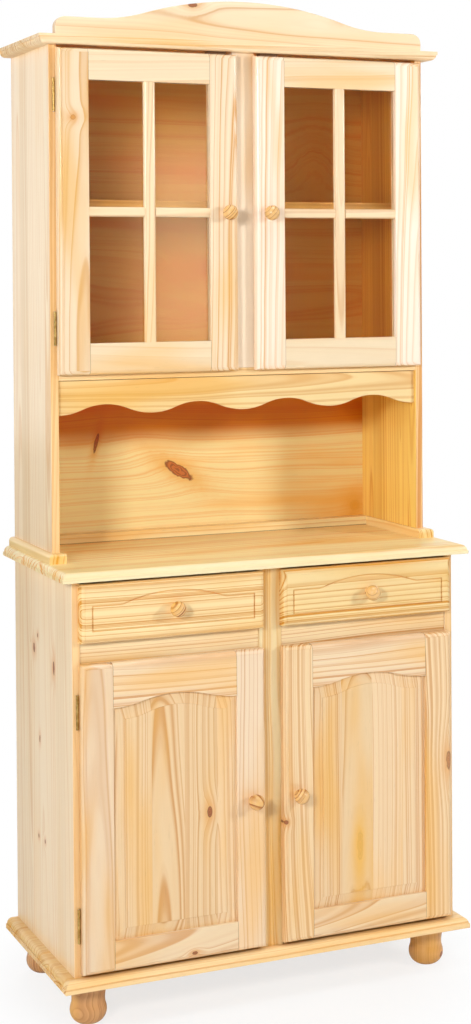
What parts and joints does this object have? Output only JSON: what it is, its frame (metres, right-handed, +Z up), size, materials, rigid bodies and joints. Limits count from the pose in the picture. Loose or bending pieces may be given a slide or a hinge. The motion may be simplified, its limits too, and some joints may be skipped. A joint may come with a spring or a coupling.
{
  "type": "display cabinet",
  "caption": "Two-part pine display cabinet: glazed hutch with an open niche on a buffet base with drawers and raised-panel doors, bun feet and an arched crown board.",
  "frame": {"origin": "on the floor, under the middle of the whole box with everything shut and the knobs included", "axes": "+Z up, the front with its doors faces -Y, +X is the viewer's right from the front"},
  "size_m": [0.85, 0.4316, 1.9409],
  "materials": {
    "pine_carcass": "clear gloss lacquer",
    "pine_front": "clear gloss lacquer",
    "pine_panel": "clear satin lacquer",
    "pine_turned": "clear gloss lacquer",
    "pine_inner": "sanded, unfinished",
    "glass": "clear float glass",
    "hinge_brass": "dull plated",
    "steel_pin": "zinc plated",
    "catch_plastic": "moulded"
  },
  "bodies": {
    "carcass": {"base_board": "pine_carcass", "countertop": "pine_carcass", "base_side_right": "pine_carcass", "base_side_left": "pine_carcass", "base_post": "pine_carcass", "base_partition": "pine_carcass", "drawer_rails": "pine_carcass", "base_shelves": "pine_carcass", "hutch_foot_strips": "pine_carcass", "hutch_rear_strip": "pine_carcass", "hutch_side_right": "pine_carcass", "hutch_side_left": "pine_carcass", "hutch_floor": "pine_carcass", "hutch_post": "pine_carcass", "hutch_shelf": "pine_carcass", "cornice": "pine_carcass", "scalloped_apron": "pine_carcass", "crown_board": "pine_carcass", "base_back_panel": "pine_panel", "hutch_back_panel": "pine_panel", "bun_feet": "pine_turned", "drawer_runners": "pine_inner", "hinge_frame_leaves": "hinge_brass", "hinge_pins": "hinge_brass", "shelf_pins": "steel_pin", "door_catches": "catch_plastic"},
    "upper_left_door": {"upper_stiles_left": "pine_front", "upper_rails_left": "pine_front", "glazing_bars_left": "pine_front", "upper_glass_left": "glass", "glazing_beads_left": "pine_front", "upper_knob_left": "pine_turned", "upper_door_fittings_left": "hinge_brass"},
    "upper_right_door": {"upper_stiles_right": "pine_front", "upper_rails_right": "pine_front", "glazing_bars_right": "pine_front", "upper_glass_right": "glass", "glazing_beads_right": "pine_front", "upper_knob_right": "pine_turned", "upper_door_fittings_right": "hinge_brass"},
    "lower_left_door": {"lower_stiles_left": "pine_front", "lower_rails_left": "pine_front", "lower_panel_left": "pine_front", "lower_knob_left": "pine_turned", "lower_door_fittings_left": "hinge_brass"},
    "lower_right_door": {"lower_stiles_right": "pine_front", "lower_rails_right": "pine_front", "lower_panel_right": "pine_front", "lower_knob_right": "pine_turned", "lower_door_fittings_right": "hinge_brass"},
    "drawer_left": {"drawer_front_left": "pine_front", "drawer_sides_left": "pine_inner", "drawer_rear_left": "pine_inner", "drawer_floor_left": "pine_panel", "drawer_knob_left": "pine_turned"},
    "drawer_right": {"drawer_front_right": "pine_front", "drawer_sides_right": "pine_inner", "drawer_rear_right": "pine_inner", "drawer_floor_right": "pine_panel", "drawer_knob_right": "pine_turned"}
  },
  "joints": [
    {"name": "upper_left_door_hinge", "type": "hinge", "parent": "carcass", "child": "upper_left_door", "pos_m": [-0.39115, -0.04335, 1.5245], "axis": [0, 0, -1], "range_deg": [0, 110]},
    {"name": "upper_right_door_hinge", "type": "hinge", "parent": "carcass", "child": "upper_right_door", "pos_m": [0.39115, -0.04335, 1.5245], "axis": [0, 0, 1], "range_deg": [0, 110]},
    {"name": "lower_left_door_hinge", "type": "hinge", "parent": "carcass", "child": "lower_left_door", "pos_m": [-0.39115, -0.16335, 0.395], "axis": [0, 0, -1], "range_deg": [0, 110]},
    {"name": "lower_right_door_hinge", "type": "hinge", "parent": "carcass", "child": "lower_right_door", "pos_m": [0.39115, -0.16335, 0.395], "axis": [0, 0, 1], "range_deg": [0, 110]},
    {"name": "drawer_left_slide", "type": "slide", "parent": "carcass", "child": "drawer_left", "axis": [0, -1, 0], "range_m": [0, 0.25]},
    {"name": "drawer_right_slide", "type": "slide", "parent": "carcass", "child": "drawer_right", "axis": [0, -1, 0], "range_m": [0, 0.25]}
  ]
}
